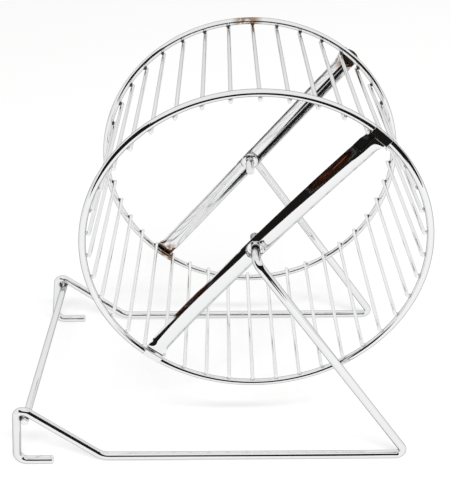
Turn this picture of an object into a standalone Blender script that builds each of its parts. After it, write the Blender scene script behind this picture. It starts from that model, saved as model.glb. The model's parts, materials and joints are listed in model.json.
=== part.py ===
"""Small-animal exercise wheel of chromed steel wire, on its own bent-wire stand.

The wheel is two wire rings joined by forty straight rungs. A pressed strap crosses each ring and carries the
wheel on the turned-in ends of the two side frames. Each side frame is one bent wire: foot, hook, slope, floor
run, leg and axle stub. A bar under the hooks joins the two frames.
Metres, +Z up, +X towards the toes of the stand, and the wheel turns about Y.
"""

import math

import bmesh
import bpy
from mathutils import Matrix, Vector

COLLECTION_NAME = "hamster_wheel"
CUTTER_COLLECTION_NAME = "cutters"

# Wheel
RIM_DIAMETER = 0.140  # outside of the ring
RIM_WIRE = 0.0028
WHEEL_WIDTH = 0.0785  # between the middles of the two rim wires
RUNG_COUNT = 40
RUNG_WIRE = 0.0016
RUNG_PAST_RIM_MIDDLE = 0.0004  # the cut ends stop this far past the middle of each rim wire
FIRST_RUNG_ANGLE = math.radians(1)  # from straight up, towards +X

# Straps: a pressed half-round channel, crest outwards, flattened on the rims and round the axle hole
STRAP_ANGLE = math.radians(41)
STRAP_SHEET = 0.0008
STRAP_WIDTH = 0.0084
STRAP_DEPTH = 0.0025
STRAP_HALF_ARC = math.radians(78)
STRAP_END_WIDTH = 0.0086
STRAP_TIP_INSET = 0.0004  # the flat ends stop this far inside the rims' outer edge
STRAP_FLAT_END = 0.0043
STRAP_END_TAPER = 0.0035
FRONT_STRAP_BOW = 0.0058  # the front strap is dished into the wheel this much at the axle
REAR_STRAP_BOW = 0
BOW_POWER = 4  # the dish is flat in the middle and steeper towards the strap's ends
SEAT_RADIUS = 0.0034  # round pressed seat about the axle hole
SEAT_WALL = 0.0006
SEAT_DROP = 0.0015
SEAT_WIDTH = 0.0086
STRAP_BLEND = 0.0030  # length over which the channel opens out to the seat's width

# Stand
STAND_WIRE = 0.0038
FLOOR_CLEARANCE = 0.0378  # under the wheel
LEG_ROOM = 0.0032  # between a strap's face and the leg beside it, with the wheel centred
BASE_SPREAD = 0.0045  # how much further out each frame stands at the floor than at the axle
STUB_REACH = 0.0192  # from the leg's middle to the cut end inside the wheel
TOE_REACH = 0.0699  # from the axle to the toe corner
SLOPE_FOOT_REACH = 0.0707  # from the axle to the corner between slope and floor run
HOOK_TOP_REACH = 0.1049
FRONT_HOOK_HEIGHT = 0.0347  # hook's top corner above the foot
REAR_HOOK_HEIGHT = 0.0310  # the rear frame's hook is bent a little lower
HEEL_REACH = 0.1103
FOOT_LENGTH = 0.0167
RUN_RISE = 0.0019  # the floor run's hook end stands this much off the floor
TOE_BEND_INSIDE = 0.0010
HOOK_TOP_BEND_INSIDE = 0.0012
HEEL_BEND_INSIDE = 0.0028
SLOPE_FOOT_BEND_INSIDE = 0.0070
AXLE_BEND_INSIDE = 0.0015
BAR_WIRE = 0.0034
BAR_OVERHANG = 0.0005  # past the outer side of each frame

# Fits
SEAT_GAP = 0.0003  # between pieces that touch
AXLE_PLAY = 0.0005  # between stub and hole all round, with the stub in the middle of the hole
WHEEL_END_SHIFT = 0.0020  # the wheel has slid this far along its stubs, towards the front

# Fineness
RIM_STEPS = 120
WIRE_SIDES = 12
RUNG_SIDES = 10
STRAP_STEPS_ACROSS = 12
SEAT_STEPS = 6
SPAN_STEPS = 8
TAPER_STEPS = 5
HOLE_SIDES = 32
BEND_STEP = math.radians(14)

WIRE_BEVEL_RESOLUTION = (WIRE_SIDES - 4) // 2

# Derived places
RIM_RING_RADIUS = (RIM_DIAMETER - RIM_WIRE) / 2
RUNG_CIRCLE = RIM_RING_RADIUS - RIM_WIRE / 2 - SEAT_GAP - RUNG_WIRE / 2
RUNG_PITCH = math.tau / RUNG_COUNT
STRAP_FACE = WHEEL_WIDTH / 2 + RIM_WIRE / 2 + SEAT_GAP + STRAP_SHEET  # outer face, from the wheel's middle
STRAP_TIP = RIM_DIAMETER / 2 - STRAP_TIP_INSET
WHEEL_SAG = AXLE_PLAY - SEAT_GAP  # the wheel hangs on its stubs
STUB_HEIGHT = FLOOR_CLEARANCE + RIM_DIAMETER / 2 + WHEEL_SAG
# A wire's flat side lies on the floor, so its middle stands by the radius to the flats, not to the corners.
WIRE_FLAT_RADIUS = STAND_WIRE / 2 * math.cos(math.pi / WIRE_SIDES)
HUB_HALF_SPREAD = STRAP_FACE + LEG_ROOM + STAND_WIRE / 2
BASE_HALF_SPREAD = HUB_HALF_SPREAD + BASE_SPREAD


def clear_scene():
    for obj in list(bpy.data.objects):
        bpy.data.objects.remove(obj)


def new_collection(name):
    collection = bpy.data.collections.new(name)
    bpy.context.scene.collection.children.link(collection)
    return collection


def chrome(name, shade, roughness):
    """Bright plated steel."""
    material = bpy.data.materials.new(name)
    material.use_nodes = True
    shader = material.node_tree.nodes["Principled BSDF"]
    shader.inputs["Base Color"].default_value = (shade, shade, shade, 1)
    shader.inputs["Metallic"].default_value = 1
    shader.inputs["Roughness"].default_value = roughness
    return material


def add_object(name, data, collection, material):
    obj = bpy.data.objects.new(name, data)
    collection.objects.link(obj)
    if not data.materials:
        data.materials.append(material)
    return obj


def smooth(mesh, angle=math.radians(40)):
    mesh.shade_smooth()
    mesh.set_sharp_from_angle(angle=angle)


def filleted(corners, radii):
    """Points along straight runs between the corners, with an arc of the given radius at each inner corner."""
    points = [corners[0]]
    for before, corner, after, radius in zip(corners, corners[1:], corners[2:], radii):
        back = (before - corner).normalized()
        ahead = (after - corner).normalized()
        turn = math.pi - back.angle(ahead)
        tangent = radius * math.tan(turn / 2)
        start = corner + back * tangent
        centre = corner + (back + ahead).normalized() * radius / math.cos(turn / 2)
        axis = (start - centre).cross(corner + ahead * tangent - centre).normalized()
        steps = max(2, math.ceil(turn / BEND_STEP))
        for step in range(steps + 1):
            swing = Matrix.Rotation(turn * step / steps, 3, axis)
            points.append(centre + swing @ (start - centre))
    points.append(corners[-1])
    return points


def frame_corners(side):
    """A side frame's wire from its foot's cut end to its stub's cut end, from the point below the axle."""
    base = side * BASE_HALF_SPREAD
    hub = side * HUB_HALF_SPREAD
    low = WIRE_FLAT_RADIUS
    hook_height = FRONT_HOOK_HEIGHT if side < 0 else REAR_HOOK_HEIGHT
    return [
        Vector((FOOT_LENGTH - HEEL_REACH, base, low)),
        Vector((-HEEL_REACH, base, low)),
        Vector((-HOOK_TOP_REACH, base, low + hook_height)),
        Vector((-SLOPE_FOOT_REACH, base, low + RUN_RISE)),
        Vector((TOE_REACH, base, low)),
        Vector((0, hub, STUB_HEIGHT)),
        Vector((0, hub - side * STUB_REACH, STUB_HEIGHT)),
    ]


def frame_points(side):
    wire_radius = STAND_WIRE / 2
    insides = [
        HEEL_BEND_INSIDE,
        HOOK_TOP_BEND_INSIDE,
        SLOPE_FOOT_BEND_INSIDE,
        TOE_BEND_INSIDE,
        AXLE_BEND_INSIDE,
    ]
    return filleted(frame_corners(side), [inside + wire_radius for inside in insides])


def axle_x():
    """Where the axle stands, so that the origin is under the middle of the whole length."""
    along = [point.x for point in frame_points(1)]
    heel = min(along) - WIRE_FLAT_RADIUS
    front = max(RIM_DIAMETER / 2, max(along) + WIRE_FLAT_RADIUS)
    return -(heel + front) / 2


def bar_place(side):
    """The cross bar's middle in one frame's hook, tucked under its top bend and touching both straight runs."""
    _, heel, top, slope_foot = frame_corners(side)[:4]
    down = (heel - top).normalized()
    along = (slope_foot - top).normalized()
    apart = (STAND_WIRE + BAR_WIRE) / 2 + SEAT_GAP
    return top + (down + along).normalized() * apart / math.sin(down.angle(along) / 2)


def make_rim(name, side, parts, axle, material):
    """One wire ring, square to the axle."""
    bpy.ops.mesh.primitive_torus_add(
        major_radius=RIM_RING_RADIUS,
        minor_radius=RIM_WIRE / 2,
        major_segments=RIM_STEPS,
        minor_segments=WIRE_SIDES,
    )
    rim = bpy.context.object
    rim.name = rim.data.name = name
    rim.data.transform(Matrix.Rotation(math.pi / 2, 4, "X"))
    smooth(rim.data)
    rim.data.materials.append(material)
    for collection in rim.users_collection:
        collection.objects.unlink(rim)
    parts.objects.link(rim)
    rim.parent = axle
    rim.location = (0, side * WHEEL_WIDTH / 2, 0)


def rung_mesh():
    """A straight wire across both rims, lying inside them."""
    mesh = bpy.data.meshes.new("rung")
    bm = bmesh.new()
    bmesh.ops.create_cone(
        bm,
        cap_ends=True,
        segments=RUNG_SIDES,
        radius1=RUNG_WIRE / 2,
        radius2=RUNG_WIRE / 2,
        depth=WHEEL_WIDTH + 2 * RUNG_PAST_RIM_MIDDLE,
        matrix=Matrix.Translation((0, 0, RUNG_CIRCLE)) @ Matrix.Rotation(math.pi / 2, 4, "X"),
    )
    bm.to_mesh(mesh)
    bm.free()
    smooth(mesh)
    return mesh


def make_rungs(parts, axle, material):
    mesh = rung_mesh()
    for number in range(RUNG_COUNT):
        rung = add_object(f"rung_{number + 1:02d}", mesh, parts, material)
        rung.parent = axle
        rung.rotation_euler = (0, FIRST_RUNG_ANGLE + number * RUNG_PITCH, 0)


def strap_stations():
    """Distances from the axle at which the strap's section is drawn, on one half."""
    taper = STRAP_TIP - STRAP_FLAT_END - STRAP_END_TAPER
    seat_edge = SEAT_RADIUS + SEAT_WALL
    blend_end = seat_edge + STRAP_BLEND
    seat = [SEAT_RADIUS * step / SEAT_STEPS for step in range(1, SEAT_STEPS + 1)]
    wall = [SEAT_RADIUS + SEAT_WALL / 2, seat_edge, seat_edge + STRAP_BLEND / 2]
    span = [blend_end + (taper - blend_end) * step / SPAN_STEPS for step in range(SPAN_STEPS)]
    end = [taper + STRAP_END_TAPER * step / TAPER_STEPS for step in range(TAPER_STEPS + 1)]
    return seat + wall + span + end + [STRAP_TIP]


def eased(share):
    share = min(max(share, 0), 1)
    return share * share * (3 - 2 * share)


def strap_point(along, share, bow):
    """A point of the strap's outer face: share runs across it from -1 to 1, and depth is into the wheel."""
    reach = abs(along)
    flat_start = STRAP_TIP - STRAP_FLAT_END
    flat = eased((reach - flat_start + STRAP_END_TAPER) / STRAP_END_TAPER)
    opened = 1 - eased((reach - SEAT_RADIUS - SEAT_WALL) / STRAP_BLEND)
    swing = share * STRAP_HALF_ARC
    half_channel = (STRAP_WIDTH + (SEAT_WIDTH - STRAP_WIDTH) * opened) / 2
    channel_side = half_channel * math.sin(swing) / math.sin(STRAP_HALF_ARC)
    sideways = channel_side + (share * STRAP_END_WIDTH / 2 - channel_side) * flat
    edge_drop = (STRAP_DEPTH - STRAP_SHEET) * (1 - math.cos(swing)) / (1 - math.cos(STRAP_HALF_ARC))
    drop = edge_drop * (1 - flat)
    seated = eased((SEAT_RADIUS + SEAT_WALL - math.hypot(along, sideways)) / SEAT_WALL)
    drop += max(SEAT_DROP - drop, 0) * seated
    return sideways, along, drop + bow * max(1 - (reach / flat_start) ** BOW_POWER, 0)


def strap_mesh(side, bow):
    """The strap's outer face as an open sheet along Z, which Solidify thickens into the wheel."""
    half = strap_stations()
    stations = [-along for along in reversed(half)] + [0] + half
    bm = bmesh.new()
    rows = []
    for along in stations:
        row = []
        for step in range(STRAP_STEPS_ACROSS + 1):
            x, z, drop = strap_point(along, 2 * step / STRAP_STEPS_ACROSS - 1, bow)
            row.append(bm.verts.new((x, -side * drop, z)))
        rows.append(row)
    for lower, upper in zip(rows, rows[1:]):
        for left, right, above_left, above_right in zip(lower, lower[1:], upper, upper[1:]):
            quad = (left, right, above_right, above_left)
            bm.faces.new(quad if side < 0 else quad[::-1])
    mesh = bpy.data.meshes.new("strap")
    bm.to_mesh(mesh)
    bm.free()
    smooth(mesh)
    return mesh


def make_hole_cutter(name, side, bow, cutters, axle):
    mesh = bpy.data.meshes.new(name)
    bm = bmesh.new()
    bmesh.ops.create_cone(
        bm,
        cap_ends=True,
        segments=HOLE_SIDES,
        radius1=STAND_WIRE / 2 + AXLE_PLAY,
        radius2=STAND_WIRE / 2 + AXLE_PLAY,
        depth=2 * (SEAT_DROP + STRAP_DEPTH),
        matrix=Matrix.Rotation(math.pi / 2, 4, "X"),
    )
    bm.to_mesh(mesh)
    bm.free()
    cutter = bpy.data.objects.new(name, mesh)
    cutters.objects.link(cutter)
    cutter.parent = axle
    cutter.location = (0, side * (STRAP_FACE - bow), 0)
    cutter.hide_render = True
    cutter.display_type = "WIRE"
    return cutter


def make_strap(name, side, bow, parts, cutters, axle, material):
    """One pressed strap across a rim, with its hole for the axle stub."""
    strap = add_object(name, strap_mesh(side, bow), parts, material)
    strap.parent = axle
    strap.location = (0, side * STRAP_FACE, 0)
    strap.rotation_euler = (0, STRAP_ANGLE, 0)
    sheet = strap.modifiers.new("sheet", "SOLIDIFY")
    sheet.thickness = STRAP_SHEET
    sheet.offset = -1
    sheet.use_even_offset = True
    hole = strap.modifiers.new("hole", "BOOLEAN")
    hole.object = make_hole_cutter(f"{name}_hole", side, bow, cutters, axle)


def make_wire(name, points, wire, parts, material):
    """A round wire along the points, with cut ends."""
    curve = bpy.data.curves.new(name, "CURVE")
    curve.dimensions = "3D"
    curve.bevel_depth = wire / 2
    curve.bevel_resolution = WIRE_BEVEL_RESOLUTION
    curve.use_fill_caps = True
    spline = curve.splines.new("POLY")
    spline.points.add(len(points) - 1)
    for place, point in zip(spline.points, points):
        place.co = (*point, 1)
        place.tilt = math.pi / WIRE_SIDES
    return add_object(name, curve, parts, material)


def make_stand(parts, material, bar_material):
    root = bpy.data.objects.new("stand_origin", None)
    parts.objects.link(root)
    root.location = (axle_x(), 0, 0)
    for name, side in (("front_side_frame", -1), ("rear_side_frame", 1)):
        make_wire(name, frame_points(side), STAND_WIRE, parts, material).parent = root
    front, rear = bar_place(-1), bar_place(1)
    middle = (front + rear) / 2
    past = (BASE_HALF_SPREAD + STAND_WIRE / 2 + BAR_OVERHANG) / BASE_HALF_SPREAD
    ends = [middle + (place - middle) * past for place in (front, rear)]
    make_wire("cross_bar", ends, BAR_WIRE, parts, bar_material).parent = root


def make_wheel(parts, cutters):
    axle = bpy.data.objects.new("wheel_axle", None)
    parts.objects.link(axle)
    axle.location = (axle_x(), -WHEEL_END_SHIFT, STUB_HEIGHT - WHEEL_SAG)
    rim_finish = chrome("rim_chrome", 0.80, 0.09)
    strap_finish = chrome("strap_chrome", 0.82, 0.06)
    for place, side, bow in (("front", -1, FRONT_STRAP_BOW), ("rear", 1, REAR_STRAP_BOW)):
        make_rim(f"{place}_rim", side, parts, axle, rim_finish)
        make_strap(f"{place}_strap", side, bow, parts, cutters, axle, strap_finish)
    make_rungs(parts, axle, chrome("rung_chrome", 0.78, 0.12))


def main():
    clear_scene()
    parts = new_collection(COLLECTION_NAME)
    cutters = new_collection(CUTTER_COLLECTION_NAME)
    make_wheel(parts, cutters)
    make_stand(parts, chrome("stand_chrome", 0.80, 0.10), chrome("cross_bar_chrome", 0.78, 0.11))


main()
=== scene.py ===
import json
import math
import random

import bmesh
import bpy
from bpy.props import FloatProperty, FloatVectorProperty, IntProperty, PointerProperty
from mathutils import Matrix, Vector


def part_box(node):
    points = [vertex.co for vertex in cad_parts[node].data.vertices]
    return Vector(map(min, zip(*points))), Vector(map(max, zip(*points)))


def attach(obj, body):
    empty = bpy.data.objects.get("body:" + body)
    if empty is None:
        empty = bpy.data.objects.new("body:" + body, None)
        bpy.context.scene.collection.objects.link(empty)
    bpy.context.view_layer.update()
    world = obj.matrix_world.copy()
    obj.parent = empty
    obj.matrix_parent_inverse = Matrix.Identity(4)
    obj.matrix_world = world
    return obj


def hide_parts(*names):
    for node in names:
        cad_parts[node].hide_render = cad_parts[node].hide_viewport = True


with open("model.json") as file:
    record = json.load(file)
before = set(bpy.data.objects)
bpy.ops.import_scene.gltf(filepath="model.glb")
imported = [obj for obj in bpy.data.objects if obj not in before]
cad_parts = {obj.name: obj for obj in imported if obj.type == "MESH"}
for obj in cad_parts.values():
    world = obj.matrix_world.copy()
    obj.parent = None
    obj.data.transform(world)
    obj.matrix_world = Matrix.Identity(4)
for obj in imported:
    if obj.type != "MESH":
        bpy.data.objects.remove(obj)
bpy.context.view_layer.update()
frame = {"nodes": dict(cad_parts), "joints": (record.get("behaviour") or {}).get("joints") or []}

bl_info = {
    "name": "Chromed wire exercise wheel",
    "version": (1, 0, 0),
    "blender": (4, 5, 0),
    "location": "View3D > Sidebar > Wheel",
    "description": "A small-animal exercise wheel of chromed wire on its bent-wire stand",
    "category": "Object",
}

PHOTO_WIDTH = 450
PHOTO_HEIGHT = 493

# Places that the solids give, in metres. The wheel turns about a line along Y.
FRONT_RIM_LOW, FRONT_RIM_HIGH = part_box("front_rim")
RUNG_LOW, RUNG_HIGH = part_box("rung_01")
AXLE = Vector(frame["joints"][0]["pos_m"])
RUNG_NODES = sorted(name for name in frame["nodes"] if name.startswith("rung_"))
SIDES = {"front": -1, "rear": 1}
ALONG_AXLE = Vector((0, 1, 0))

# Fineness of the meshes
RIM_STEPS = 240
WIRE_SIDES = 20
RUNG_SIDES = 12
BEND_STEP = math.radians(7)
FEWEST_BEND_STEPS = 3
ARC_STEPS = 120
HOLE_SIDES = 48
PRESS_STEPS = 6
SMOOTH_ANGLE = math.radians(38)
SHARP_ANGLE = math.radians(60)
SAME_PLACE = 1e-6
SAME_ARC = 1e-4

# Sections drawn along half a strap: over the seat, its wall, the blend, the channel, the taper and the
# rise onto the rim
SEAT_STEPS = 16
EDGE_STEPS = 3
BLEND_STEPS = 6
SPAN_STEPS = 14
TAPER_STEPS = 14
RISE_STEPS = 8

# A wire's cut end: its two steps outwards, each with its shrink, and the ring inside its face
CUT_STEPS = ((0.6, 0.93), (0.4, 0.86))
CUT_INSET = 0.35
# How far from a wire's middle line its end's ring and cut faces are looked for, in radii, and how nearly
# a cut face points along the wire
RING_REACH = 1.5
CUT_REACH = 1.2
CUT_FACING = 0.7
# Rounding of a rung's cut ends as a share of its wire, and the stretches between rings of edges
RUNG_EDGE = 0.12
RUNG_STRETCHES = (0.03, 0.22, 0.25, 0.25, 0.22, 0.03)
BAR_STRETCHES = (0.1, 0.4, 0.4, 0.1)

# How the front strap's dish fades from the axle to its ends: the power of the curve on each half, and
# where along the upper half it levels out
UPPER_BOW_POWER = 2
LOWER_BOW_POWER = 4
LEVEL_START = 0.057
LEVEL_LENGTH = 0.004
# What is left of the channel's depth in the flat ends, the rounding of the sheet's edges as a share of
# the sheet, and the length of the punch for the axle hole in depths of the channel
FLAT_DEPTH = 0.002
SHEET_EDGE = 0.18
PUNCH_LENGTH = 4

# How much the rungs' welds differ in width and thickness, the straps' welds as shares of the strap's end
# width, the weld gap and the rim's wire, and how many kinds of unevenness there are
WELD_SWELL = (0.85, 1.2)
WELD_THICKENING = (0.9, 1.2)
STRAP_WELD = (0.38, 1.5, 0.45)
SEEDS = 1000

# Plating: how fine its textures are, where a pit begins and ends, and how rough and deep they are
CLOUD_SCALE = 90
CLOUD_SHADE = (0.25, 0.24, 0.22, 1)
PIT_SCALE = 420
PIT_EDGES = (0.05, 0.16)
PIT_ROUGHNESS = 0.25
RIPPLE_SCALE = 260
RIPPLE_HEIGHT = 0.0001

# Brown heat marks on the rear rim and strap: degrees from straight up and distance from the axle
MARKS = {
    "rim_plating": ((-1, 0.0686), (219, 0.0686)),
    "rear_strap_plating": ((41, 0.066), (221, 0.067)),
}
MARK_REACH = 0.007
MARK_SCALE = 350
MARK_FROM = (0.5, 0.15)

# Brown streaks on the front strap: from and to along it, up positive, then across it, right positive
BROWN_PATCHES = ((0.042, 0.049, -0.0038, -0.0020), (-0.040, -0.032, -0.0038, -0.0034))
BROWN_FADE = 0.009
STREAK_SCALE = (1500, 0, 90)
# Which part of the streaky noise is brown, which is its brightest, and how dark the rest of it is
BROWN_FROM = (0.50, 0.12)
BRIGHT_FROM = (0.66, 0.06)
BROWN_DEPTH = 0.16
# Painted dark reflection beside its upper weld, measured the same way, and how softly both end across the
# strap
PAINTED_DARK_REFLECTION_PATCH = (0.0595, 0.0660, -0.0080, -0.0016)
PAINTED_DARK_REFLECTION_FADE = 0.001
SIDE_FADE = 0.0008
# The shares of the painted dark reflection, and of it and the brown streaks together, at which they hide the
# colour below
PAINTED_DARK_HIDES = 0.10
COVER_HIDES = 0.15

# Dark wall that the metal mirrors, on the camera's side: bearing in degrees from the wheel, right
# positive, then its lowest and highest edge there
WALL_DISTANCE = 0.26
WALL_EDGES = (
    (-76, 0.205, 0.310),
    (-60, 0.150, 0.310),
    (-50, 0.103, 0.280),
    (-42, 0.080, 0.255),
    (-35, 0.054, 0.245),
    (-29, 0.050, 0.240),
    (-23, 0.047, 0.240),
    (-18, 0.050, 0.240),
    (-8, 0.036, 0.240),
    (0, 0.020, 0.240),
    (8, 0.010, 0.250),
    (12, 0.002, 0.255),
    (18, 0.013, 0.260),
    (26, 0.058, 0.265),
    (31, 0.076, 0.265),
    (45, 0.080, 0.260),
    (60, 0.110, 0.255),
    (75, 0.155, 0.260),
    (88, 0.180, 0.215),
)
WALL_SIDES = 360

# Floor, and the camera's sensor and nearest distance
FLOOR_RADIUS = 6
FLOOR_SIDES = 96
FLOOR_ROUGHNESS = 0.6
FLOOR_SHINE = 0.2
SENSOR_WIDTH = 36
NEAREST_SEEN = 0.01


# Sizes and colours


def length_value(name, description, default):
    return FloatProperty(name=name, description=description, default=default, unit="LENGTH")


def turn_value(name, description, default):
    return FloatProperty(name=name, description=description, default=default, subtype="ANGLE")


def color_value(name, description, default):
    return FloatVectorProperty(name=name, description=description, default=default, subtype="COLOR")


def place_value(name, description, default):
    return FloatVectorProperty(
        name=name, description=description, default=default, subtype="TRANSLATION", precision=5
    )


class WheelSizes(bpy.types.PropertyGroup):
    rim_diameter: length_value("Rim diameter", "Outside of each rim", FRONT_RIM_HIGH.x - FRONT_RIM_LOW.x)
    rim_wire: length_value("Rim wire", "Thickness of the rims' wire", FRONT_RIM_HIGH.y - FRONT_RIM_LOW.y)
    width: length_value(
        "Wheel width",
        "Between the middles of the two rim wires",
        2 * AXLE.y - FRONT_RIM_LOW.y - FRONT_RIM_HIGH.y,
    )
    rung_wire: length_value("Rung wire", "Thickness of the rungs' wire", 0.0016)
    rung_length: length_value("Rung length", "Between a rung's two cut ends", RUNG_HIGH.y - RUNG_LOW.y)
    first_rung_angle: turn_value("First rung", "Angle of the first rung from straight up", math.radians(1))


class StrapSizes(bpy.types.PropertyGroup):
    angle: turn_value("Lean", "Angle of the straps from straight up", math.radians(41))
    sheet: length_value("Sheet", "Thickness of the strap's sheet", 0.0008)
    width: length_value("Width", "Width of the pressed channel", 0.0084)
    depth: length_value("Depth", "Depth of the pressed channel", 0.0025)
    half_arc: turn_value("Half arc", "Half of the arc that the channel's section covers", math.radians(64))
    gap: length_value("Weld gap", "Between the rim and the strap", 0.0003)
    end_width: length_value("End width", "Width of the flat ends", 0.0086)
    tip_inset: length_value("Tip inset", "How far the flat ends stop inside the rims' outer edge", 0.0004)
    flat_end: length_value("Flat end", "Length of the flat at each end", 0.0043)
    end_taper: length_value("End taper", "Length over which the channel flattens out", 0.0035)
    upper_rise: length_value("Upper rise", "Dish that the front strap loses at its upper end", 0.00367)
    lower_rise: length_value("Lower rise", "Dish that the front strap loses at its lower end", 0.0031)
    sink: length_value("Sink", "How far the welded ends are sunk towards the rims", 0.0010)
    settle_start: length_value("Settle start", "From the strap's end to its step up onto the rim", 0.0037)
    settle_length: length_value("Settle length", "Length of that step", 0.0006)
    front_bow: length_value("Front bow", "Depth of the front strap's dish at the axle", 0.0058)
    rear_bow: length_value("Rear bow", "Depth of the rear strap's dish at the axle", 0.0)
    seat_radius: length_value("Seat radius", "Flat of the round seat about the axle hole", 0.0034)
    seat_wall: length_value("Seat wall", "Width of the seat's wall", 0.0006)
    seat_drop: length_value("Seat drop", "Depth of the round seat", 0.0015)
    seat_width: length_value("Seat width", "Width of the strap beside the seat", 0.0086)
    blend: length_value("Blend", "Length over which the channel opens out to the seat", 0.0030)
    hole_radius: length_value("Hole radius", "Radius of the axle hole", 0.0024)


class StandSizes(bpy.types.PropertyGroup):
    wire: length_value("Wire", "Thickness of the side frames' wire", 0.0038)
    foot_length: length_value("Foot length", "Straight foot under each hook", 0.0167)
    heel_reach: length_value("Heel reach", "From the axle to the heel", 0.1103)
    hook_top_reach: length_value("Hook reach", "From the axle to the hook's top", 0.1049)
    front_hook_height: length_value("Front hook height", "Front hook's top above the foot", 0.0347)
    rear_hook_height: length_value("Rear hook height", "Rear hook's top above the foot", 0.0310)
    slope_foot_reach: length_value("Slope reach", "From the axle to the foot of the slope", 0.0707)
    run_rise: length_value("Run rise", "How much the floor run's hook end stands off the floor", 0.0019)
    toe_reach: length_value("Toe reach", "From the axle to the toe", 0.0699)
    stub_reach: length_value("Stub reach", "From the leg's middle to the stub's cut end", 0.0192)
    stub_sag: length_value("Wheel sag", "How far the wheel hangs below the middle of the stubs", 0.0002)
    hub_half_spread: length_value("Hub spread", "From the middle to each leg at the axle", 0.04685)
    base_half_spread: length_value("Base spread", "From the middle to each frame at the floor", 0.05135)
    heel_bend: length_value("Heel bend", "Inside radius of the heel", 0.0028)
    hook_top_bend: length_value("Hook bend", "Inside radius of the hook's top", 0.0012)
    slope_foot_bend: length_value("Slope bend", "Inside radius at the slope's foot", 0.0070)
    toe_bend: length_value("Toe bend", "Inside radius of the toe", 0.0010)
    axle_bend: length_value("Axle bend", "Inside radius of the stub's bend", 0.0015)
    bar_wire: length_value("Bar wire", "Thickness of the cross bar", 0.0033)
    bar_gap: length_value("Bar gap", "Between the bar and each hook's wire", 0.00035)
    bar_overhang: length_value("Bar overhang", "How far the bar passes the frames", 0.0005)
    cut_edge: length_value("Cut edge", "Rounding of the wires' cut ends", 0.00035)


class WeldSizes(bpy.types.PropertyGroup):
    round_wire: length_value("Round the rung", "Half width of a rung's weld", 0.00095)
    along_wire: length_value("Along the rung", "Half length of a rung's weld", 0.0009)
    thick: length_value("Thickness", "Half thickness of a rung's weld", 0.00036)
    strap_reach: length_value("Strap weld reach", "From the rim wire's middle out to a strap's weld", 0.0008)
    bar: length_value("Bar weld", "Half size of the cross bar's welds", 0.0012)
    uneven: length_value("Unevenness", "How far the welds' surface wanders", 0.00012)
    seed: IntProperty(name="Seed", description="Picks the welds' unevenness", default=7)


class Finishes(bpy.types.PropertyGroup):
    chrome: color_value("Chrome", "Colour of the plating", (0.82, 0.823, 0.827))
    rung_chrome: color_value("Rung chrome", "Colour of the thinner wires' plating", (0.92, 0.923, 0.927))
    burnt: color_value("Scale", "Colour of the scale at the front rim's welds", (0.80, 0.79, 0.78))
    burnt_dark: color_value("Dark scale", "Colour of the scale at the other welds", (0.20, 0.19, 0.18))
    steel: color_value("Cut steel", "Colour of the cut ends", (0.80, 0.79, 0.78))
    # Colour of the brown streaks on the front strap, brighter streaks of it over near-black ones
    brown_streaks: color_value("Rust", "Colour of the front strap's rust", (0.17, 0.05, 0.026))
    # Near black for the painted dark reflection at the front strap's upper end, which carries its mirrored
    # dark band on to the end
    painted_dark_reflection: color_value("Soot", "Colour of the front strap's burnt patch", (0.006, 0.006, 0.006))
    tint: color_value("Heat tint", "Colour of the brown heat marks", (0.36, 0.24, 0.17))


class StageLooks(bpy.types.PropertyGroup):
    floor: color_value("Floor", "Colour of the floor", (0.955, 0.955, 0.95))
    floor_whiteness: FloatProperty(
        name="Floor whiteness",
        description="How much of the plain backdrop white shows in the floor",
        default=0.62,
        min=0,
        max=1,
        subtype="FACTOR",
    )
    world_level: FloatProperty(
        name="Room light", description="Strength of the even light all round", default=0.72, min=0
    )
    lamp_power: FloatProperty(
        name="Lamp power", description="Power of the long overhead lamp", default=34.0, unit="POWER"
    )
    lamp_length: length_value("Lamp length", "Length of the overhead lamp", 1.6)
    lamp_width: length_value("Lamp width", "Width of the overhead lamp", 0.12)
    lamp_place: place_value("Lamp place", "Middle of the overhead lamp", (0.50, -1.00, 1.60))
    wall: color_value("Wall", "Colour of the dark wall", (0.012, 0.011, 0.010))
    camera_place: place_value("Camera place", "Where the camera stands", (0.009944, -0.29498, 0.28342))
    camera_turn: turn_value("Camera turn", "To the left", math.radians(0.337))
    camera_dip: turn_value("Camera dip", "Below level", math.radians(34.011))
    camera_roll: turn_value("Camera roll", "About its view", math.radians(-1.157))
    focal_pixels: FloatProperty(name="Focal length", description="In pixels of the picture", default=777.9)


# Shaping


def deselect():
    bpy.ops.object.select_all(action="DESELECT")


def begin_edit(obj):
    """Opens the newest primitive for shaping, with its place in its mesh."""
    bpy.ops.object.transform_apply(location=True, rotation=True, scale=True)
    bpy.ops.object.mode_set(mode="EDIT")
    bpy.ops.mesh.select_mode(type="VERT")
    bpy.ops.mesh.select_all(action="SELECT")
    return obj


def pick(obj, wanted):
    """Selects the corners whose vertex is wanted, and the edges and faces between them."""
    mesh = bmesh.from_edit_mesh(obj.data)
    for vertex in mesh.verts:
        vertex.select = wanted(vertex)
    mesh.select_flush_mode()
    bmesh.update_edit_mesh(obj.data)


def end_edit(obj, name):
    """Closes the shaping: doubles are merged and faces point outwards."""
    bpy.ops.mesh.select_all(action="SELECT")
    bpy.ops.mesh.remove_doubles(threshold=SAME_PLACE)
    bpy.ops.mesh.normals_make_consistent(inside=False)
    bpy.ops.object.mode_set(mode="OBJECT")
    bpy.ops.object.shade_smooth_by_angle(angle=SMOOTH_ANGLE)
    obj.name = obj.data.name = name


def settle(obj, material, body, nodes=()):
    """Gives a finished piece its material and the body that it rides on, and hides the solids that it stands
    for.
    """
    obj.data.materials.clear()
    obj.data.materials.append(material)
    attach(obj, body)
    if nodes:
        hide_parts(*nodes)


def bare_ends(obj, places):
    """Gives the cut faces at a wire's ends the look of cut steel."""
    obj.data.materials.append(finish("cut_steel"))
    for face in obj.data.polygons:
        for place, outwards, radius in places:
            near = (face.center - place).length < radius * CUT_REACH
            if near and face.normal.dot(outwards) > CUT_FACING:
                face.material_index = 1


def apply_modifiers(obj):
    for modifier in list(obj.modifiers):
        bpy.ops.object.modifier_apply(modifier=modifier.name)


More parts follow.
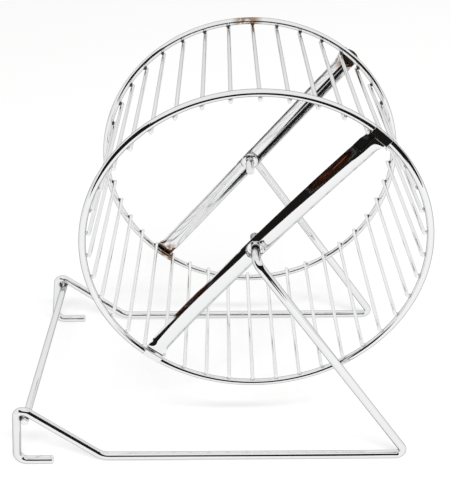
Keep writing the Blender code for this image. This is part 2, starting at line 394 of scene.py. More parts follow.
def open_ring(place, along, radius, sides):
    """A ring of edges across the start of a wire, ready to be drawn out."""
    deselect()
    turn = along.to_track_quat("Z", "Y").to_euler()
    bpy.ops.mesh.primitive_circle_add(vertices=sides, radius=radius, location=place, rotation=turn)
    return begin_edit(bpy.context.object)


def draw_straight(step):
    bpy.ops.mesh.extrude_region_move(TRANSFORM_OT_translate={"value": step})


def cut_ends(obj, ends, edge):
    """Closes a wire's open ends with cut faces whose edges are a little rounded."""
    for place, outwards, radius in ends:
        pick(obj, lambda v: v.is_boundary and (v.co - place).length < radius * RING_REACH)
        for share, shrink in CUT_STEPS:
            draw_straight(outwards * edge * share)
            middle = place + outwards * edge * share
            bpy.ops.transform.resize(value=(shrink,) * 3, center_override=middle)
            place = middle
        bpy.ops.mesh.edge_face_add()
        bpy.ops.mesh.inset(thickness=radius * CUT_INSET)


def draw_bends(corners, radii):
    """Draws the picked ring along the corners, with a spun bend at each inner one."""
    place = corners[0]
    for corner, after, radius in zip(corners[1:], corners[2:], radii):
        back = (place - corner).normalized()
        ahead = (after - corner).normalized()
        turn = math.pi - back.angle(ahead)
        tangent = radius * math.tan(turn / 2)
        start = corner + back * tangent
        end = corner + ahead * tangent
        centre = corner + (back + ahead).normalized() * radius / math.cos(turn / 2)
        draw_straight(start - place)
        bpy.ops.mesh.spin(
            steps=max(FEWEST_BEND_STEPS, math.ceil(turn / BEND_STEP)),
            angle=turn,
            center=centre,
            axis=(end - centre).cross(start - centre).normalized(),
        )
        place = end
    draw_straight(corners[-1] - place)


# Finishes


def group_sockets(tree, inputs, outputs):
    for name, kind, default in inputs:
        socket = tree.interface.new_socket(name=name, in_out="INPUT", socket_type=kind)
        socket.default_value = default
    for name, kind in outputs:
        tree.interface.new_socket(name=name, in_out="OUTPUT", socket_type=kind)


def feed(tree, node, feeds):
    """Gives a node's inputs their values, or the other nodes' outputs that they come from."""
    for name, value in feeds.items():
        if isinstance(value, bpy.types.NodeSocket):
            tree.links.new(value, node.inputs[name])
        else:
            node.inputs[name].default_value = value


def add_node(tree, kind, place=(0, 0), feeds=None, **settings):
    node = tree.nodes.new(kind)
    node.location = place
    for name, value in settings.items():
        setattr(node, name, value)
    feed(tree, node, feeds or {})
    return node


def combined(tree, operation, *feeds):
    inputs = dict(enumerate(feeds))
    return add_node(tree, "ShaderNodeMath", feeds=inputs, operation=operation).outputs["Value"]


def mixed(tree, share, first, second, blend="MIX"):
    feeds = {"Fac": share, "Color1": first, "Color2": second}
    return add_node(tree, "ShaderNodeMixRGB", feeds=feeds, blend_type=blend).outputs["Color"]


def above(tree, value, low, soft):
    """A mask that rises to 1 where the value reaches low, over a soft edge before it."""
    feeds = {"Value": value, "From Min": low - soft, "From Max": low}
    return add_node(tree, "ShaderNodeMapRange", feeds=feeds).outputs["Result"]


def between(tree, value, low, high, soft):
    """A mask that is 1 where the value is between low and high, with soft edges."""
    return combined(tree, "MULTIPLY", above(tree, value, low, soft), above(tree, value, high, -soft))


def plating_group():
    """Bright plating: cloudy colour, small pits and a drawn wire's ripple."""
    tree = bpy.data.node_groups.new("plating", "ShaderNodeTree")
    group_sockets(
        tree,
        (
            ("Color", "NodeSocketColor", (0.76, 0.76, 0.76, 1)),
            ("Cloud", "NodeSocketFloat", 0.06),
            ("Pits", "NodeSocketFloat", 0.3),
            ("Gloss roughness", "NodeSocketFloat", 0.05),
            ("Ripple", "NodeSocketFloat", 0.1),
        ),
        (("Color", "NodeSocketColor"), ("Roughness", "NodeSocketFloat"), ("Normal", "NodeSocketVector")),
    )
    given = add_node(tree, "NodeGroupInput", (-900, 0)).outputs
    spot = add_node(tree, "ShaderNodeTexCoord", (-900, -300)).outputs["Object"]
    cloud = add_node(
        tree, "ShaderNodeTexNoise", (-600, 100), {"Vector": spot, "Scale": CLOUD_SCALE, "Detail": 4}
    )
    pits = add_node(tree, "ShaderNodeTexVoronoi", (-600, -150), {"Vector": spot, "Scale": PIT_SCALE})
    ripple = add_node(
        tree, "ShaderNodeTexNoise", (-600, -400), {"Vector": spot, "Scale": RIPPLE_SCALE, "Detail": 2}
    )
    cloudy = combined(tree, "MULTIPLY", cloud.outputs["Fac"], given["Cloud"])
    shade = mixed(tree, cloudy, given["Color"], CLOUD_SHADE, "MULTIPLY")
    start, end = PIT_EDGES
    feeds = {"Value": pits.outputs["Distance"], "From Min": start, "From Max": end, "To Min": 1, "To Max": 0}
    spots = add_node(tree, "ShaderNodeMapRange", (-350, -100), feeds)
    pitted = combined(tree, "MULTIPLY", spots.outputs["Result"], given["Pits"])
    rough = combined(tree, "MULTIPLY_ADD", pitted, PIT_ROUGHNESS, given["Gloss roughness"])
    height = combined(tree, "SUBTRACT", ripple.outputs["Fac"], pitted)
    feeds = {"Distance": RIPPLE_HEIGHT, "Strength": given["Ripple"], "Height": height}
    bump = add_node(tree, "ShaderNodeBump", (350, -250), feeds)
    results = {"Color": shade, "Roughness": rough, "Normal": bump.outputs["Normal"]}
    add_node(tree, "NodeGroupOutput", (700, 0), results)
    return tree


def heat_mark_group():
    """A cloudy brown tint about one place."""
    tree = bpy.data.node_groups.new("heat_mark", "ShaderNodeTree")
    group_sockets(
        tree,
        (
            ("Color", "NodeSocketColor", (0.76, 0.76, 0.76, 1)),
            ("Tint", "NodeSocketColor", (0.36, 0.24, 0.17, 1)),
            ("Place", "NodeSocketVector", (0, 0, 0)),
        ),
        (("Color", "NodeSocketColor"),),
    )
    given = add_node(tree, "NodeGroupInput", (-900, 0)).outputs
    spot = add_node(tree, "ShaderNodeTexCoord", (-900, 300)).outputs["Object"]
    patchy = add_node(tree, "ShaderNodeTexNoise", (-700, 300), {"Vector": spot, "Scale": MARK_SCALE})
    cloudy = above(tree, patchy.outputs["Fac"], *MARK_FROM)
    feeds = {0: spot, 1: given["Place"]}
    far = add_node(tree, "ShaderNodeVectorMath", (-700, 600), feeds, operation="DISTANCE")
    near = above(tree, far.outputs["Value"], MARK_REACH / 2, -MARK_REACH / 2)
    tinted = mixed(tree, combined(tree, "MULTIPLY", near, cloudy), given["Color"], given["Tint"])
    add_node(tree, "NodeGroupOutput", (200, 0), {"Color": tinted})
    return tree


def shared_group(name, make):
    return bpy.data.node_groups.get(name) or make()


def new_material(name):
    material = bpy.data.materials.new(name)
    material.use_nodes = True
    return material, material.node_tree


def chrome(name, color, cloud, pits, roughness, ripple, edge=0.05, metallic=1.0):
    """A chromed surface, from the shared plating group."""
    material, tree = new_material(name)
    group = shared_group("plating", plating_group)
    feeds = {"Color": (*color, 1), "Cloud": cloud, "Pits": pits, "Ripple": ripple}
    feeds["Gloss roughness"] = roughness
    plating = add_node(tree, "ShaderNodeGroup", (-300, 100), feeds, node_tree=group).outputs
    surface = {
        "Base Color": plating["Color"],
        "Metallic": metallic,
        "Roughness": plating["Roughness"],
        "Specular Tint": (edge, edge, edge, 1),
        "Normal": plating["Normal"],
    }
    feed(tree, tree.nodes["Principled BSDF"], surface)
    return material


def heat_mark(material, place, tint):
    """Lays a heat mark over a material's plating."""
    tree = material.node_tree
    shader = tree.nodes["Principled BSDF"]
    plain = shader.inputs["Base Color"].links[0].from_socket
    group = shared_group("heat_mark", heat_mark_group)
    feeds = {"Color": plain, "Tint": (*tint, 1), "Place": place}
    mark = add_node(tree, "ShaderNodeGroup", (-150, 400), feeds, node_tree=group)
    feed(tree, shader, {"Base Color": mark.outputs["Color"]})


def patch(tree, place, edges, soft):
    """A mask that is 1 inside a patch of the front strap."""
    low, high, left, right = edges
    along = between(tree, place.outputs["Z"], low, high, soft)
    across = between(tree, place.outputs["X"], left, right, SIDE_FADE)
    return combined(tree, "MULTIPLY", along, across)


def brown_streaks_and_painted_dark(material, lean, color, painted_dark_reflection):
    """Thin brown streaks along the front strap's upper edge, and painted dark reflection at its upper weld.
    """
    tree = material.node_tree
    shader = tree.nodes["Principled BSDF"]
    spot = add_node(tree, "ShaderNodeTexCoord", (-1500, 700)).outputs["Object"]
    feeds = {"Vector": spot, "Location": AXLE, "Rotation": (0, lean, 0)}
    turned = add_node(tree, "ShaderNodeMapping", (-1300, 700), feeds, vector_type="TEXTURE")
    feeds = {"Vector": turned.outputs["Vector"]}
    place = add_node(tree, "ShaderNodeSeparateXYZ", (-1100, 900), feeds)
    drawn = add_node(tree, "ShaderNodeMapping", (-1100, 600), {**feeds, "Scale": STREAK_SCALE})
    feeds = {"Vector": drawn.outputs["Vector"], "Scale": 1, "Detail": 3}
    streaks = add_node(tree, "ShaderNodeTexNoise", (-900, 600), feeds).outputs["Fac"]
    patches = combined(tree, "ADD", *(patch(tree, place, edges, BROWN_FADE) for edges in BROWN_PATCHES))
    brown_streaks = combined(tree, "MULTIPLY", patches, above(tree, streaks, *BROWN_FROM))
    # Painted dark reflection: a near-black patch at the upper end, where the strap's mirrored dark band
    # would stop short
    burnt = patch(tree, place, PAINTED_DARK_REFLECTION_PATCH, PAINTED_DARK_REFLECTION_FADE)
    covered = combined(tree, "MAXIMUM", brown_streaks, burnt)
    dark = (*(share * BROWN_DEPTH for share in color), 1)
    browned = mixed(tree, above(tree, streaks, *BRIGHT_FROM), dark, (*color, 1))
    streaks_and_painted_dark = mixed(tree, above(tree, burnt, PAINTED_DARK_HIDES, PAINTED_DARK_HIDES), browned, (*painted_dark_reflection, 1))
    plain = shader.inputs["Base Color"].links[0].from_socket
    covered_color = mixed(tree, above(tree, covered, COVER_HIDES, COVER_HIDES), plain, streaks_and_painted_dark)
    feed(tree, shader, {"Base Color": covered_color, "Metallic": combined(tree, "SUBTRACT", 1, covered)})


def finish(name):
    """The material of that name, made when it is first asked for."""
    if name in bpy.data.materials and bpy.data.materials[name].get("made_here"):
        return bpy.data.materials[name]
    scene = bpy.context.scene
    looks = scene.wheel_finishes
    # Each recipe: colour, cloud, pits, roughness, ripple, then brightness of its edges and share of metal
    recipes = {
        "rim_plating": (looks.chrome, 0.05, 0.2, 0.05, 0.10),
        "rung_plating": (looks.rung_chrome, 0.08, 0.3, 0.08, 0.15, 0.62),
        "front_strap_plating": (looks.chrome, 0.03, 0.15, 0.035, 0.05, 0.3),
        "rear_strap_plating": (looks.chrome, 0.10, 0.15, 0.10, 0.05, 0.3),
        "stand_plating": (looks.chrome, 0.06, 0.25, 0.05, 0.12, 0.3),
        "weld_scale": (looks.burnt, 0.45, 0.6, 0.16, 0.6, 0.3, 0.6),
        "burnt_weld": (looks.burnt_dark, 0.5, 0.8, 0.3, 0.8),
        "cut_steel": (looks.steel, 0.25, 0.4, 0.45, 0.4, 0.5, 0.2),
    }
    material = chrome(name, *recipes[name])
    rear = AXLE + ALONG_AXLE * scene.wheel_sizes.width / 2
    for turn, reach in MARKS.get(name, ()):
        away = Matrix.Rotation(math.radians(turn), 3, ALONG_AXLE) @ Vector((0, 0, reach))
        heat_mark(material, rear + away, looks.tint)
    # The front strap gets brown streaks and a painted dark reflection at its upper end
    if name == "front_strap_plating":
        brown_streaks_and_painted_dark(material, scene.strap_sizes.angle, looks.brown_streaks, looks.painted_dark_reflection)
    material["made_here"] = True
    return material


# Pieces


class WHEEL_OT_rims(bpy.types.Operator):
    """Makes the two rims, each one closed ring of round wire"""

    bl_idname = "wheel.make_rims"
    bl_label = "Make the rims"

    def execute(self, context):
        sizes = context.scene.wheel_sizes
        ring_radius = (sizes.rim_diameter - sizes.rim_wire) / 2
        for name, side in SIDES.items():
            middle = AXLE + ALONG_AXLE * side * sizes.width / 2
            start = middle + Vector((0, 0, ring_radius))
            rim = open_ring(start, Vector((1, 0, 0)), sizes.rim_wire / 2, WIRE_SIDES)
            bpy.ops.mesh.spin(steps=RIM_STEPS, angle=math.tau, center=middle, axis=ALONG_AXLE)
            end_edit(rim, f"{name}_rim_wire")
            settle(rim, finish("rim_plating"), "wheel", [f"{name}_rim"])
        return {"FINISHED"}


class WHEEL_OT_rungs(bpy.types.Operator):
    """Makes one rung with pinched, cut ends, and copies it round the rims"""

    bl_idname = "wheel.make_rungs"
    bl_label = "Make the rungs"

    def execute(self, context):
        sizes = context.scene.wheel_sizes
        edge = sizes.rung_wire * RUNG_EDGE
        radius = sizes.rung_wire / 2
        circle = sizes.rim_diameter / 2 - sizes.rim_wire - context.scene.strap_sizes.gap - radius
        half = sizes.rung_length / 2 - edge
        start = Vector((AXLE.x, AXLE.y - half, AXLE.z + circle))
        rung = open_ring(start, ALONG_AXLE, radius, RUNG_SIDES)
        for share in RUNG_STRETCHES:
            draw_straight(ALONG_AXLE * 2 * half * share)
        end = start + ALONG_AXLE * 2 * half
        ends = [(start, -ALONG_AXLE, radius), (end, ALONG_AXLE, radius)]
        cut_ends(rung, ends, edge)
        end_edit(rung, "rung_wire_01")
        settle(rung, finish("rung_plating"), "wheel")
        bare_ends(rung, ends)
        copies = [rung]
        for number in range(2, len(RUNG_NODES) + 1):
            copy = rung.copy()
            copy.data = rung.data.copy()
            copy.name = copy.data.name = f"rung_wire_{number:02d}"
            context.collection.objects.link(copy)
            copies.append(copy)
        pitch = math.tau / len(copies)
        for number, (copy, node) in enumerate(zip(copies, RUNG_NODES)):
            turn = Matrix.Rotation(sizes.first_rung_angle + number * pitch, 4, ALONG_AXLE)
            copy.data.transform(Matrix.Translation(AXLE) @ turn @ Matrix.Translation(-AXLE))
            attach(copy, "wheel")
            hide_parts(node)
        return {"FINISHED"}


def eased(share):
    share = min(max(share, 0), 1)
    return share * share * (3 - 2 * share)


def strap_stations(sizes, tip):
    """Distances from the axle at which the strap's section changes, on one half."""
    seat_edge = sizes.seat_radius + sizes.seat_wall
    blend_end = seat_edge + sizes.blend
    flat_start = tip - sizes.flat_end
    rise = tip - sizes.settle_start
    stretches = (
        (sizes.seat_radius, SEAT_STEPS),
        (seat_edge, EDGE_STEPS),
        (blend_end, BLEND_STEPS),
        (flat_start - sizes.end_taper, SPAN_STEPS),
        (flat_start, TAPER_STEPS),
        (rise, 1),
        (rise + sizes.settle_length, RISE_STEPS),
        (tip, 1),
    )
    places = [0]
    for end, steps in stretches:
        start = places[-1]
        places += [start + (end - start) * step / steps for step in range(1, steps + 1)]
    return places[1:]


def levelled(along, way):
    """Distance that the dish is worked out from: the upper half's slope dies out before its end."""
    if way < 0 or along < LEVEL_START:
        return along
    left = max(LEVEL_START + LEVEL_LENGTH - along, 0) / LEVEL_LENGTH
    return LEVEL_START + LEVEL_LENGTH / 2 * (1 - left * left)


def draw_strap_half(sizes, tip, bow, way):
    """Draws the section, from the axle to one end, widening, flattening and bowing it on the way."""
    flat_start = tip - sizes.flat_end
    edge = sizes.seat_radius + sizes.seat_wall
    half_before, depth_before, dish_before, along_before = sizes.seat_width / 2, 1, bow, 0
    rise = (sizes.upper_rise if way > 0 else sizes.lower_rise) if bow else 0
    power = UPPER_BOW_POWER if way > 0 else LOWER_BOW_POWER
    for along in strap_stations(sizes, tip):
        flat = eased((along - flat_start + sizes.end_taper) / sizes.end_taper)
        opened = 1 - eased((along - edge) / sizes.blend)
        channel = (sizes.width + (sizes.seat_width - sizes.width) * opened) / 2
        half = channel + (sizes.end_width / 2 - channel) * flat
        depth = max(1 - flat, FLAT_DEPTH)
        settled = eased((along - tip + sizes.settle_start) / sizes.settle_length)
        dish = bow - rise * (levelled(along, way) / flat_start) ** power
        dish += ((sizes.sink if bow else 0) - dish) * settled
        draw_straight(Vector((0, dish - dish_before, way * (along - along_before))))
        ratio = (half / half_before, depth / depth_before, 1)
        bpy.ops.transform.resize(value=ratio, center_override=(0, dish, way * along))
        half_before, depth_before, dish_before, along_before = half, depth, dish, along


def press_seat(obj, sizes, bow):
    """Presses the round seat about the axle into the channel's crest, ring by ring."""
    pressed_before = 0
    edge = sizes.seat_radius + sizes.seat_wall
    level = bow + sizes.seat_drop
    for step in range(1, PRESS_STEPS + 1):
        reach = edge - sizes.seat_wall * step / PRESS_STEPS
        pressed = eased(step / PRESS_STEPS)
        pick(obj, lambda v: math.hypot(v.co.x, v.co.z) <= reach + SAME_PLACE and v.co.y < level)
        left = (1 - pressed) / (1 - pressed_before)
        bpy.ops.transform.resize(value=(1, left, 1), center_override=(0, level, 0))
        pressed_before = pressed


class WHEEL_OT_straps(bpy.types.Operator):
    """Makes the two pressed straps with their flat ends, round seats and axle holes"""

    bl_idname = "wheel.make_straps"
    bl_label = "Make the straps"

    def execute(self, context):
        sizes = context.scene.strap_sizes
        wheel = context.scene.wheel_sizes
        face = wheel.width / 2 + wheel.rim_wire / 2 + sizes.gap + sizes.sheet
        bows = {"front": sizes.front_bow, "rear": sizes.rear_bow}
        for name, side in SIDES.items():
            strap = self.pressed(sizes, wheel.rim_diameter / 2 - sizes.tip_inset, bows[name])
            strap.scale = (1, -side, 1)
            strap.location = AXLE + ALONG_AXLE * side * face
            strap.rotation_euler = (0, sizes.angle, 0)
            bpy.ops.object.transform_apply(location=True, rotation=True, scale=True)
            self.face_outwards(strap, side)
            sheet = strap.modifiers.new("sheet", "SOLIDIFY")
            sheet.thickness = sizes.sheet
            sheet.offset = -1
            sheet.use_even_offset = True
            edges = strap.modifiers.new("edges", "BEVEL")
            edges.width = sizes.sheet * SHEET_EDGE
            edges.segments = 2
            edges.limit_method = "ANGLE"
            edges.angle_limit = SHARP_ANGLE
            apply_modifiers(strap)
            self.pierce(strap, sizes, AXLE + ALONG_AXLE * side * (face - bows[name]))
            bpy.ops.object.mode_set(mode="EDIT")
            end_edit(strap, f"{name}_strap_sheet")
            settle(strap, finish(f"{name}_strap_plating"), "wheel", [f"{name}_strap"])
        return {"FINISHED"}

    def pressed(self, sizes, tip, bow):
        """One strap's outer face along Z, crest towards -Y."""
        deselect()
        bpy.ops.mesh.primitive_circle_add(vertices=ARC_STEPS, radius=1)
        strap = begin_edit(bpy.context.object)
        lowest = -math.cos(sizes.half_arc) + SAME_ARC
        pick(strap, lambda v: v.co.y > lowest)
        bpy.ops.mesh.delete(type="VERT")
        bpy.ops.mesh.select_all(action="SELECT")
        deep = (sizes.depth - sizes.sheet) / (1 - math.cos(sizes.half_arc))
        wide = sizes.seat_width / 2 / math.sin(sizes.half_arc)
        bpy.ops.transform.resize(value=(wide, deep, 1), center_override=(0, 0, 0))
        bpy.ops.transform.translate(value=(0, deep + bow, 0))
        draw_strap_half(sizes, tip, bow, 1)
        pick(strap, lambda v: abs(v.co.z) < SAME_PLACE)
        draw_strap_half(sizes, tip, bow, -1)
        press_seat(strap, sizes, bow)
        bpy.ops.object.mode_set(mode="OBJECT")
        return strap

    def face_outwards(self, strap, side):
        """Turns the sheet's faces away from the wheel, so that it is thickened inwards."""
        bpy.ops.object.mode_set(mode="EDIT")
        bpy.ops.mesh.select_all(action="SELECT")
        bpy.ops.mesh.normals_make_consistent(inside=False)
        mesh = bmesh.from_edit_mesh(strap.data)
        if sum(face.normal.y * face.calc_area() for face in mesh.faces) * side < 0:
            bpy.ops.mesh.flip_normals()
        bpy.ops.object.mode_set(mode="OBJECT")

    def pierce(self, strap, sizes, place):
        """Cuts the axle hole."""
        deselect()
        bpy.ops.mesh.primitive_cylinder_add(
            vertices=HOLE_SIDES,
            radius=sizes.hole_radius,
            depth=sizes.depth * PUNCH_LENGTH,
            location=place,
            rotation=(math.pi / 2, 0, 0),
        )
        punch = bpy.context.object
        deselect()
        strap.select_set(True)
        bpy.context.view_layer.objects.active = strap
        hole = strap.modifiers.new("hole", "BOOLEAN")
        hole.object = punch
        apply_modifiers(strap)
        bpy.data.objects.remove(punch)


def nugget(half_sizes, turn, place, seed):
    """One uneven blob of weld metal."""
    deselect()
    bpy.ops.mesh.primitive_ico_sphere_add(subdivisions=2, radius=1)
    obj = begin_edit(bpy.context.object)
    bpy.ops.transform.resize(value=half_sizes, center_override=(0, 0, 0))
    bpy.ops.transform.vertex_random(offset=bpy.context.scene.weld_sizes.uneven, seed=seed)
    end_edit(obj, "weld")
    obj.data.transform(Matrix.Translation(place) @ turn)
    return obj


def joined(pieces, name):
    """One object of several pieces."""
    deselect()
    for piece in pieces:
        piece.select_set(True)
    bpy.context.view_layer.objects.active = pieces[0]
    bpy.ops.object.join()
    pieces[0].name = pieces[0].data.name = name
    return pieces[0]


class WHEEL_OT_welds(bpy.types.Operator):
    """Makes the welds between rungs and rims, straps and rims, and cross bar and frames"""

    bl_idname = "wheel.make_welds"
    bl_label = "Make the welds"

    def execute(self, context):
        welds = context.scene.weld_sizes
        wheel = context.scene.wheel_sizes
        straps = context.scene.strap_sizes
        count = len(RUNG_NODES)
        chance = random.Random(welds.seed)
        rim_inside = wheel.rim_diameter / 2 - wheel.rim_wire
        rim_middle = (wheel.rim_diameter - wheel.rim_wire) / 2
        for name, side in SIDES.items():
            middle = AXLE + ALONG_AXLE * side * (wheel.width / 2 - welds.along_wire / 3)
            blobs = []
            for number in range(count):
                turn = Matrix.Rotation(wheel.first_rung_angle + number * math.tau / count, 4, ALONG_AXLE)
                wide = welds.round_wire * chance.uniform(*WELD_SWELL)
                thick = welds.thick * chance.uniform(*WELD_THICKENING)
                place = middle + turn @ Vector((0, 0, rim_inside - straps.gap / 2))
                blobs.append(nugget((wide, welds.along_wire, thick), turn, place, chance.randrange(SEEDS)))
            weld = joined(blobs, f"{name}_rung_welds")
            settle(weld, finish("weld_scale" if side < 0 else "burnt_weld"), "wheel")
            if side < 0:
                continue
            face = AXLE + ALONG_AXLE * side * (wheel.width / 2 + wheel.rim_wire / 2 + straps.gap / 2)
            blobs = []
            for number in range(2):
                turn = Matrix.Rotation(straps.angle + number * math.pi, 4, ALONG_AXLE)
                spans = (straps.end_width, straps.gap, wheel.rim_wire)
                half = [span * share for span, share in zip(spans, STRAP_WELD)]
                place = face + turn @ Vector((0, 0, rim_middle + welds.strap_reach))
                blobs.append(nugget(half, turn, place, chance.randrange(SEEDS)))
            weld = joined(blobs, f"{name}_strap_welds")
            settle(weld, finish("burnt_weld"), "wheel")
        stand = context.scene.stand_sizes
        blobs = []
        for side in SIDES.values():
            heel, top, slope_foot = frame_corners(stand, side, stand.wire / 2)[1:4]
            seat = bar_seat(stand, side)
            for foot in (heel, slope_foot):
                wire = (foot - top).normalized()
                beside = top + wire * (seat - top).dot(wire)
                place = beside + (seat - beside).normalized() * (stand.wire + stand.bar_gap) / 2
                blobs.append(nugget((welds.bar,) * 3, Matrix(), place, chance.randrange(SEEDS)))
        settle(joined(blobs, "bar_welds"), finish("burnt_weld"), "stand")
        return {"FINISHED"}


def frame_corners(sizes, side, low):
    """A side frame's wire, from its foot's cut end to its stub's cut end."""
    base = side * sizes.base_half_spread
    hub = side * sizes.hub_half_spread
    up = AXLE.z + sizes.stub_sag
    hook = sizes.front_hook_height if side < 0 else sizes.rear_hook_height
    return [
        Vector((AXLE.x + sizes.foot_length - sizes.heel_reach, base, low)),
        Vector((AXLE.x - sizes.heel_reach, base, low)),
        Vector((AXLE.x - sizes.hook_top_reach, base, low + hook)),
        Vector((AXLE.x - sizes.slope_foot_reach, base, low + sizes.run_rise)),
        Vector((AXLE.x + sizes.toe_reach, base, low)),
        Vector((AXLE.x, hub, up)),
        Vector((AXLE.x, hub - side * sizes.stub_reach, up)),
    ]


class WHEEL_OT_side_frames(bpy.types.Operator):
    """Makes the two bent-wire side frames, from the foot's cut end to the axle stub's"""

    bl_idname = "wheel.make_side_frames"
    bl_label = "Make the side frames"

    def execute(self, context):
        sizes = context.scene.stand_sizes
        radius = sizes.wire / 2
        insides = (
            sizes.heel_bend,
            sizes.hook_top_bend,
            sizes.slope_foot_bend,
            sizes.toe_bend,
            sizes.axle_bend,
        )
        for name, side in SIDES.items():
            corners = frame_corners(sizes, side, radius)
            first = (corners[1] - corners[0]).normalized()
            last = (corners[-1] - corners[-2]).normalized()
            corners[0] = corners[0] + first * sizes.cut_edge
            corners[-1] = corners[-1] - last * sizes.cut_edge
            wire = open_ring(corners[0], first, radius, WIRE_SIDES)
            draw_bends(corners, [inside + radius for inside in insides])
            ends = [(corners[0], -first, radius), (corners[-1], last, radius)]
            cut_ends(wire, ends, sizes.cut_edge)
            end_edit(wire, f"{name}_side_wire")
            settle(wire, finish("stand_plating"), "stand", [f"{name}_side_frame"])
            bare_ends(wire, ends)
        return {"FINISHED"}


def bar_seat(sizes, side):
    """Where the bar's middle line lies under one hook, the same way off both of its wires."""
    heel, top, slope_foot = frame_corners(sizes, side, sizes.wire / 2)[1:4]
    down = (heel - top).normalized()
    along = (slope_foot - top).normalized()
    apart = (sizes.wire + sizes.bar_wire) / 2 + sizes.bar_gap
    return top + (down + along).normalized() * apart / math.sin(down.angle(along) / 2)


class WHEEL_OT_cross_bar(bpy.types.Operator):
    """Makes the bar under the two hooks"""

    bl_idname = "wheel.make_cross_bar"
    bl_label = "Make the cross bar"

    def execute(self, context):
        sizes = context.scene.stand_sizes
        radius = sizes.bar_wire / 2
        front, rear = bar_seat(sizes, -1), bar_seat(sizes, 1)
        middle = (front + rear) / 2
        past = (sizes.base_half_spread + sizes.wire / 2 + sizes.bar_overhang) / sizes.base_half_spread
        along = (rear - front).normalized()
        start = middle + (front - middle) * past + along * sizes.cut_edge
        end = middle + (rear - middle) * past - along * sizes.cut_edge
        bar = open_ring(start, along, radius, WIRE_SIDES)
        for share in BAR_STRETCHES:
            draw_straight((end - start) * share)
        ends = [(start, -along, radius), (end, along, radius)]
        cut_ends(bar, ends, sizes.cut_edge)
        end_edit(bar, "cross_bar_wire")
        settle(bar, finish("stand_plating"), "stand", ["cross_bar"])
        bare_ends(bar, ends)
        return {"FINISHED"}


# Stage


def backdrop_white(tree, surface, whiteness):
    """Lets the plain white backdrop show in a stage surface, to the eye and in polished metal."""
    path = add_node(tree, "ShaderNodeLightPath", (-600, 300)).outputs
    seen = combined(tree, "MAXIMUM", path["Is Camera Ray"], path["Is Glossy Ray"])
    clear = combined(tree, "MAXIMUM", seen, path["Is Transmission Ray"])
    share = combined(tree, "MULTIPLY", clear, whiteness)
    white = add_node(tree, "ShaderNodeEmission", (0, 100)).outputs["Emission"]
    feeds = {"Fac": share, 1: surface, 2: white}
    return add_node(tree, "ShaderNodeMixShader", (200, 100), feeds).outputs["Shader"]


def wall_material(looks):
    """Near black, whatever light falls on it."""
    material, tree = new_material("dim_room")
    tree.nodes.remove(tree.nodes["Principled BSDF"])
    dim = add_node(tree, "ShaderNodeEmission", feeds={"Color": (*looks.wall, 1)})
    feed(tree, tree.nodes["Material Output"], {"Surface": dim.outputs["Emission"]})
    return material


def bearing(place):
    """Degrees round from the camera's side of the wheel, to the right."""
    return math.degrees(math.atan2(place.x - AXLE.x, -place.y))


def wall_edges(angle):
    """Lowest and highest edge of the dark wall at a bearing."""
    for (left, *start), (right, *end) in zip(WALL_EDGES, WALL_EDGES[1:]):
        if angle <= right:
            share = max(angle - left, 0) / (right - left)
            return [a + (b - a) * share for a, b in zip(start, end)]
    return WALL_EDGES[-1][1:]


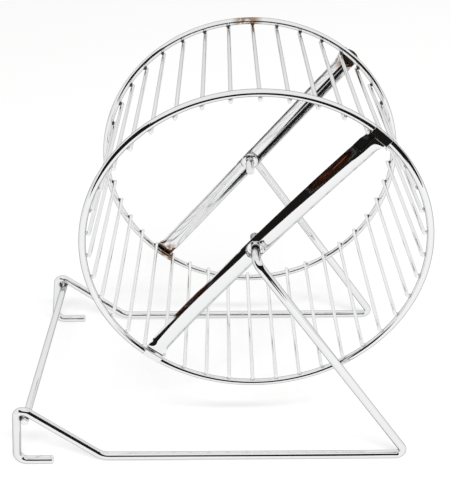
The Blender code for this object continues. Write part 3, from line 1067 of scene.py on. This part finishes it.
class WHEEL_OT_stage(bpy.types.Operator):
    """Sets the floor, the backdrop, the lamp and the camera"""

    bl_idname = "wheel.make_stage"
    bl_label = "Set the stage"

    def execute(self, context):
        looks = context.scene.stage_looks
        self.floor(looks)
        self.wall(looks)
        self.light(context, looks)
        self.camera(context, looks)
        context.scene.view_settings.view_transform = "Standard"
        return {"FINISHED"}

    def floor(self, looks):
        deselect()
        bpy.ops.mesh.primitive_circle_add(vertices=FLOOR_SIDES, radius=FLOOR_RADIUS, fill_type="NGON")
        floor = bpy.context.object
        floor.name = floor.data.name = "floor"
        material, tree = new_material("floor_paper")
        shader = tree.nodes["Principled BSDF"]
        feeds = {"Base Color": (*looks.floor, 1), "Roughness": FLOOR_ROUGHNESS}
        feed(tree, shader, {**feeds, "Specular IOR Level": FLOOR_SHINE})
        surface = backdrop_white(tree, shader.outputs["BSDF"], looks.floor_whiteness)
        feed(tree, tree.nodes["Material Output"], {"Surface": surface})
        floor.data.materials.append(material)

    def wall(self, looks):
        """A dark wall round the camera's side that only polished metal mirrors, as a dim room does."""
        deselect()
        bpy.ops.mesh.primitive_cylinder_add(
            vertices=WALL_SIDES,
            radius=WALL_DISTANCE,
            depth=1,
            end_fill_type="NOTHING",
            location=(AXLE.x, 0, 0),
        )
        obj = begin_edit(bpy.context.object)
        pick(obj, lambda v: not WALL_EDGES[0][0] <= bearing(v.co) <= WALL_EDGES[-1][0])
        bpy.ops.mesh.delete(type="VERT")
        mesh = bmesh.from_edit_mesh(obj.data)
        for vertex in mesh.verts:
            low, high = wall_edges(bearing(vertex.co))
            vertex.co.z = low if vertex.co.z < 0 else high
        bmesh.update_edit_mesh(obj.data)
        bpy.ops.object.mode_set(mode="OBJECT")
        obj.name = obj.data.name = "dark_wall"
        obj.data.materials.append(wall_material(looks))
        for ray in ("camera", "diffuse", "shadow", "transmission"):
            setattr(obj, f"visible_{ray}", False)

    def light(self, context, looks):
        world = context.scene.world or bpy.data.worlds.new("room")
        context.scene.world = world
        world.use_nodes = True
        tree = world.node_tree
        tree.nodes.clear()
        even = add_node(tree, "ShaderNodeBackground", (0, 0), {"Strength": looks.world_level})
        surface = backdrop_white(tree, even.outputs["Background"], 1)
        add_node(tree, "ShaderNodeOutputWorld", (400, 0), {"Surface": surface})
        lamp = bpy.data.lights.new("overhead_lamp", "AREA")
        lamp.energy = looks.lamp_power
        lamp.shape = "RECTANGLE"
        lamp.size = looks.lamp_length
        lamp.size_y = looks.lamp_width
        obj = bpy.data.objects.new("overhead_lamp", lamp)
        context.collection.objects.link(obj)
        obj.location = looks.lamp_place
        obj.rotation_euler = (math.atan2(-obj.location.y, obj.location.z), 0, 0)
        obj.visible_glossy = False

    def camera(self, context, looks):
        data = bpy.data.cameras.new("camera")
        camera = bpy.data.objects.new("camera", data)
        context.collection.objects.link(camera)
        data.sensor_width = SENSOR_WIDTH
        data.lens = looks.focal_pixels * data.sensor_width / max(PHOTO_WIDTH, PHOTO_HEIGHT)
        data.clip_start = NEAREST_SEEN
        turn = Matrix.Rotation(looks.camera_turn, 4, "Z")
        tip = Matrix.Rotation(math.pi / 2 - looks.camera_dip, 4, "X")
        roll = Matrix.Rotation(looks.camera_roll, 4, "Z")
        camera.matrix_world = Matrix.Translation(looks.camera_place) @ turn @ tip @ roll
        context.scene.camera = camera


class WHEEL_PT_panel(bpy.types.Panel):
    bl_idname = "WHEEL_PT_panel"
    bl_label = "Exercise wheel"
    bl_space_type = "VIEW_3D"
    bl_region_type = "UI"
    bl_category = "Wheel"

    def draw(self, context):
        for group in GROUPS:
            box = self.layout.box()
            box.label(text=group.replace("_", " ").capitalize())
            values = getattr(context.scene, group)
            for name in values.bl_rna.properties.keys():
                if name not in ("rna_type", "name"):
                    box.prop(values, name)
        for operator in OPERATORS:
            self.layout.operator(operator.bl_idname)


GROUPS = {
    "wheel_sizes": WheelSizes,
    "strap_sizes": StrapSizes,
    "stand_sizes": StandSizes,
    "weld_sizes": WeldSizes,
    "wheel_finishes": Finishes,
    "stage_looks": StageLooks,
}
OPERATORS = (
    WHEEL_OT_rims,
    WHEEL_OT_rungs,
    WHEEL_OT_straps,
    WHEEL_OT_side_frames,
    WHEEL_OT_cross_bar,
    WHEEL_OT_welds,
    WHEEL_OT_stage,
)


def register():
    for kind in (*GROUPS.values(), *OPERATORS, WHEEL_PT_panel):
        bpy.utils.register_class(kind)
    for name, kind in GROUPS.items():
        setattr(bpy.types.Scene, name, PointerProperty(type=kind))


def unregister():
    for name in GROUPS:
        delattr(bpy.types.Scene, name)
    for kind in (WHEEL_PT_panel, *OPERATORS, *GROUPS.values()):
        bpy.utils.unregister_class(kind)


def main():
    register()
    bpy.ops.wheel.make_rims()
    bpy.ops.wheel.make_rungs()
    bpy.ops.wheel.make_straps()
    bpy.ops.wheel.make_side_frames()
    bpy.ops.wheel.make_cross_bar()
    bpy.ops.wheel.make_welds()
    bpy.ops.wheel.make_stage()


if __name__ == "__main__":
    main()
